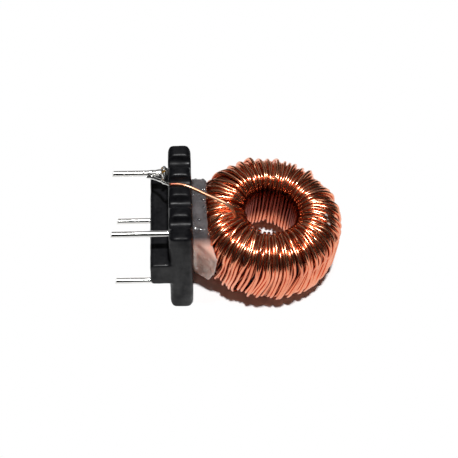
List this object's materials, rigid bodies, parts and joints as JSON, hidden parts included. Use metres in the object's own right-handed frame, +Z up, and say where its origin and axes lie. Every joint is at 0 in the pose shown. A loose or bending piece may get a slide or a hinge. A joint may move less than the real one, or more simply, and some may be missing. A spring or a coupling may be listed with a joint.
{
  "type": "toroidal inductor",
  "caption": "Enamelled copper wire wound on a ring core, glued to a black moulded header whose pins solder into a circuit board.",
  "frame": {"origin": "centre of the pin footprint, on the face of the rail that seats on the board", "axes": "+X from the board to the coil, so the pins point along -X; +Y along the header's slotted edges; +Z up as the part lies on one long edge of the header"},
  "size_m": [0.0384, 0.0248, 0.0188],
  "materials": {
    "black_plastic": "satin moulded",
    "tinned_pin": "bright tinned",
    "ferrite": "matte",
    "copper_shaded": "enamelled",
    "copper_wire": "clear enamel",
    "solder": "bright",
    "adhesive": "set hot-melt, cloudy"
  },
  "bodies": {
    "root": {"header": "black_plastic", "pin_1": "tinned_pin", "pin_2": "tinned_pin", "pin_3": "tinned_pin", "pin_4": "tinned_pin", "core": "ferrite", "lower_winding": "copper_shaded", "winding": "copper_wire", "solder_1": "solder", "solder_2": "solder", "adhesive": "adhesive"}
  },
  "joints": []
}
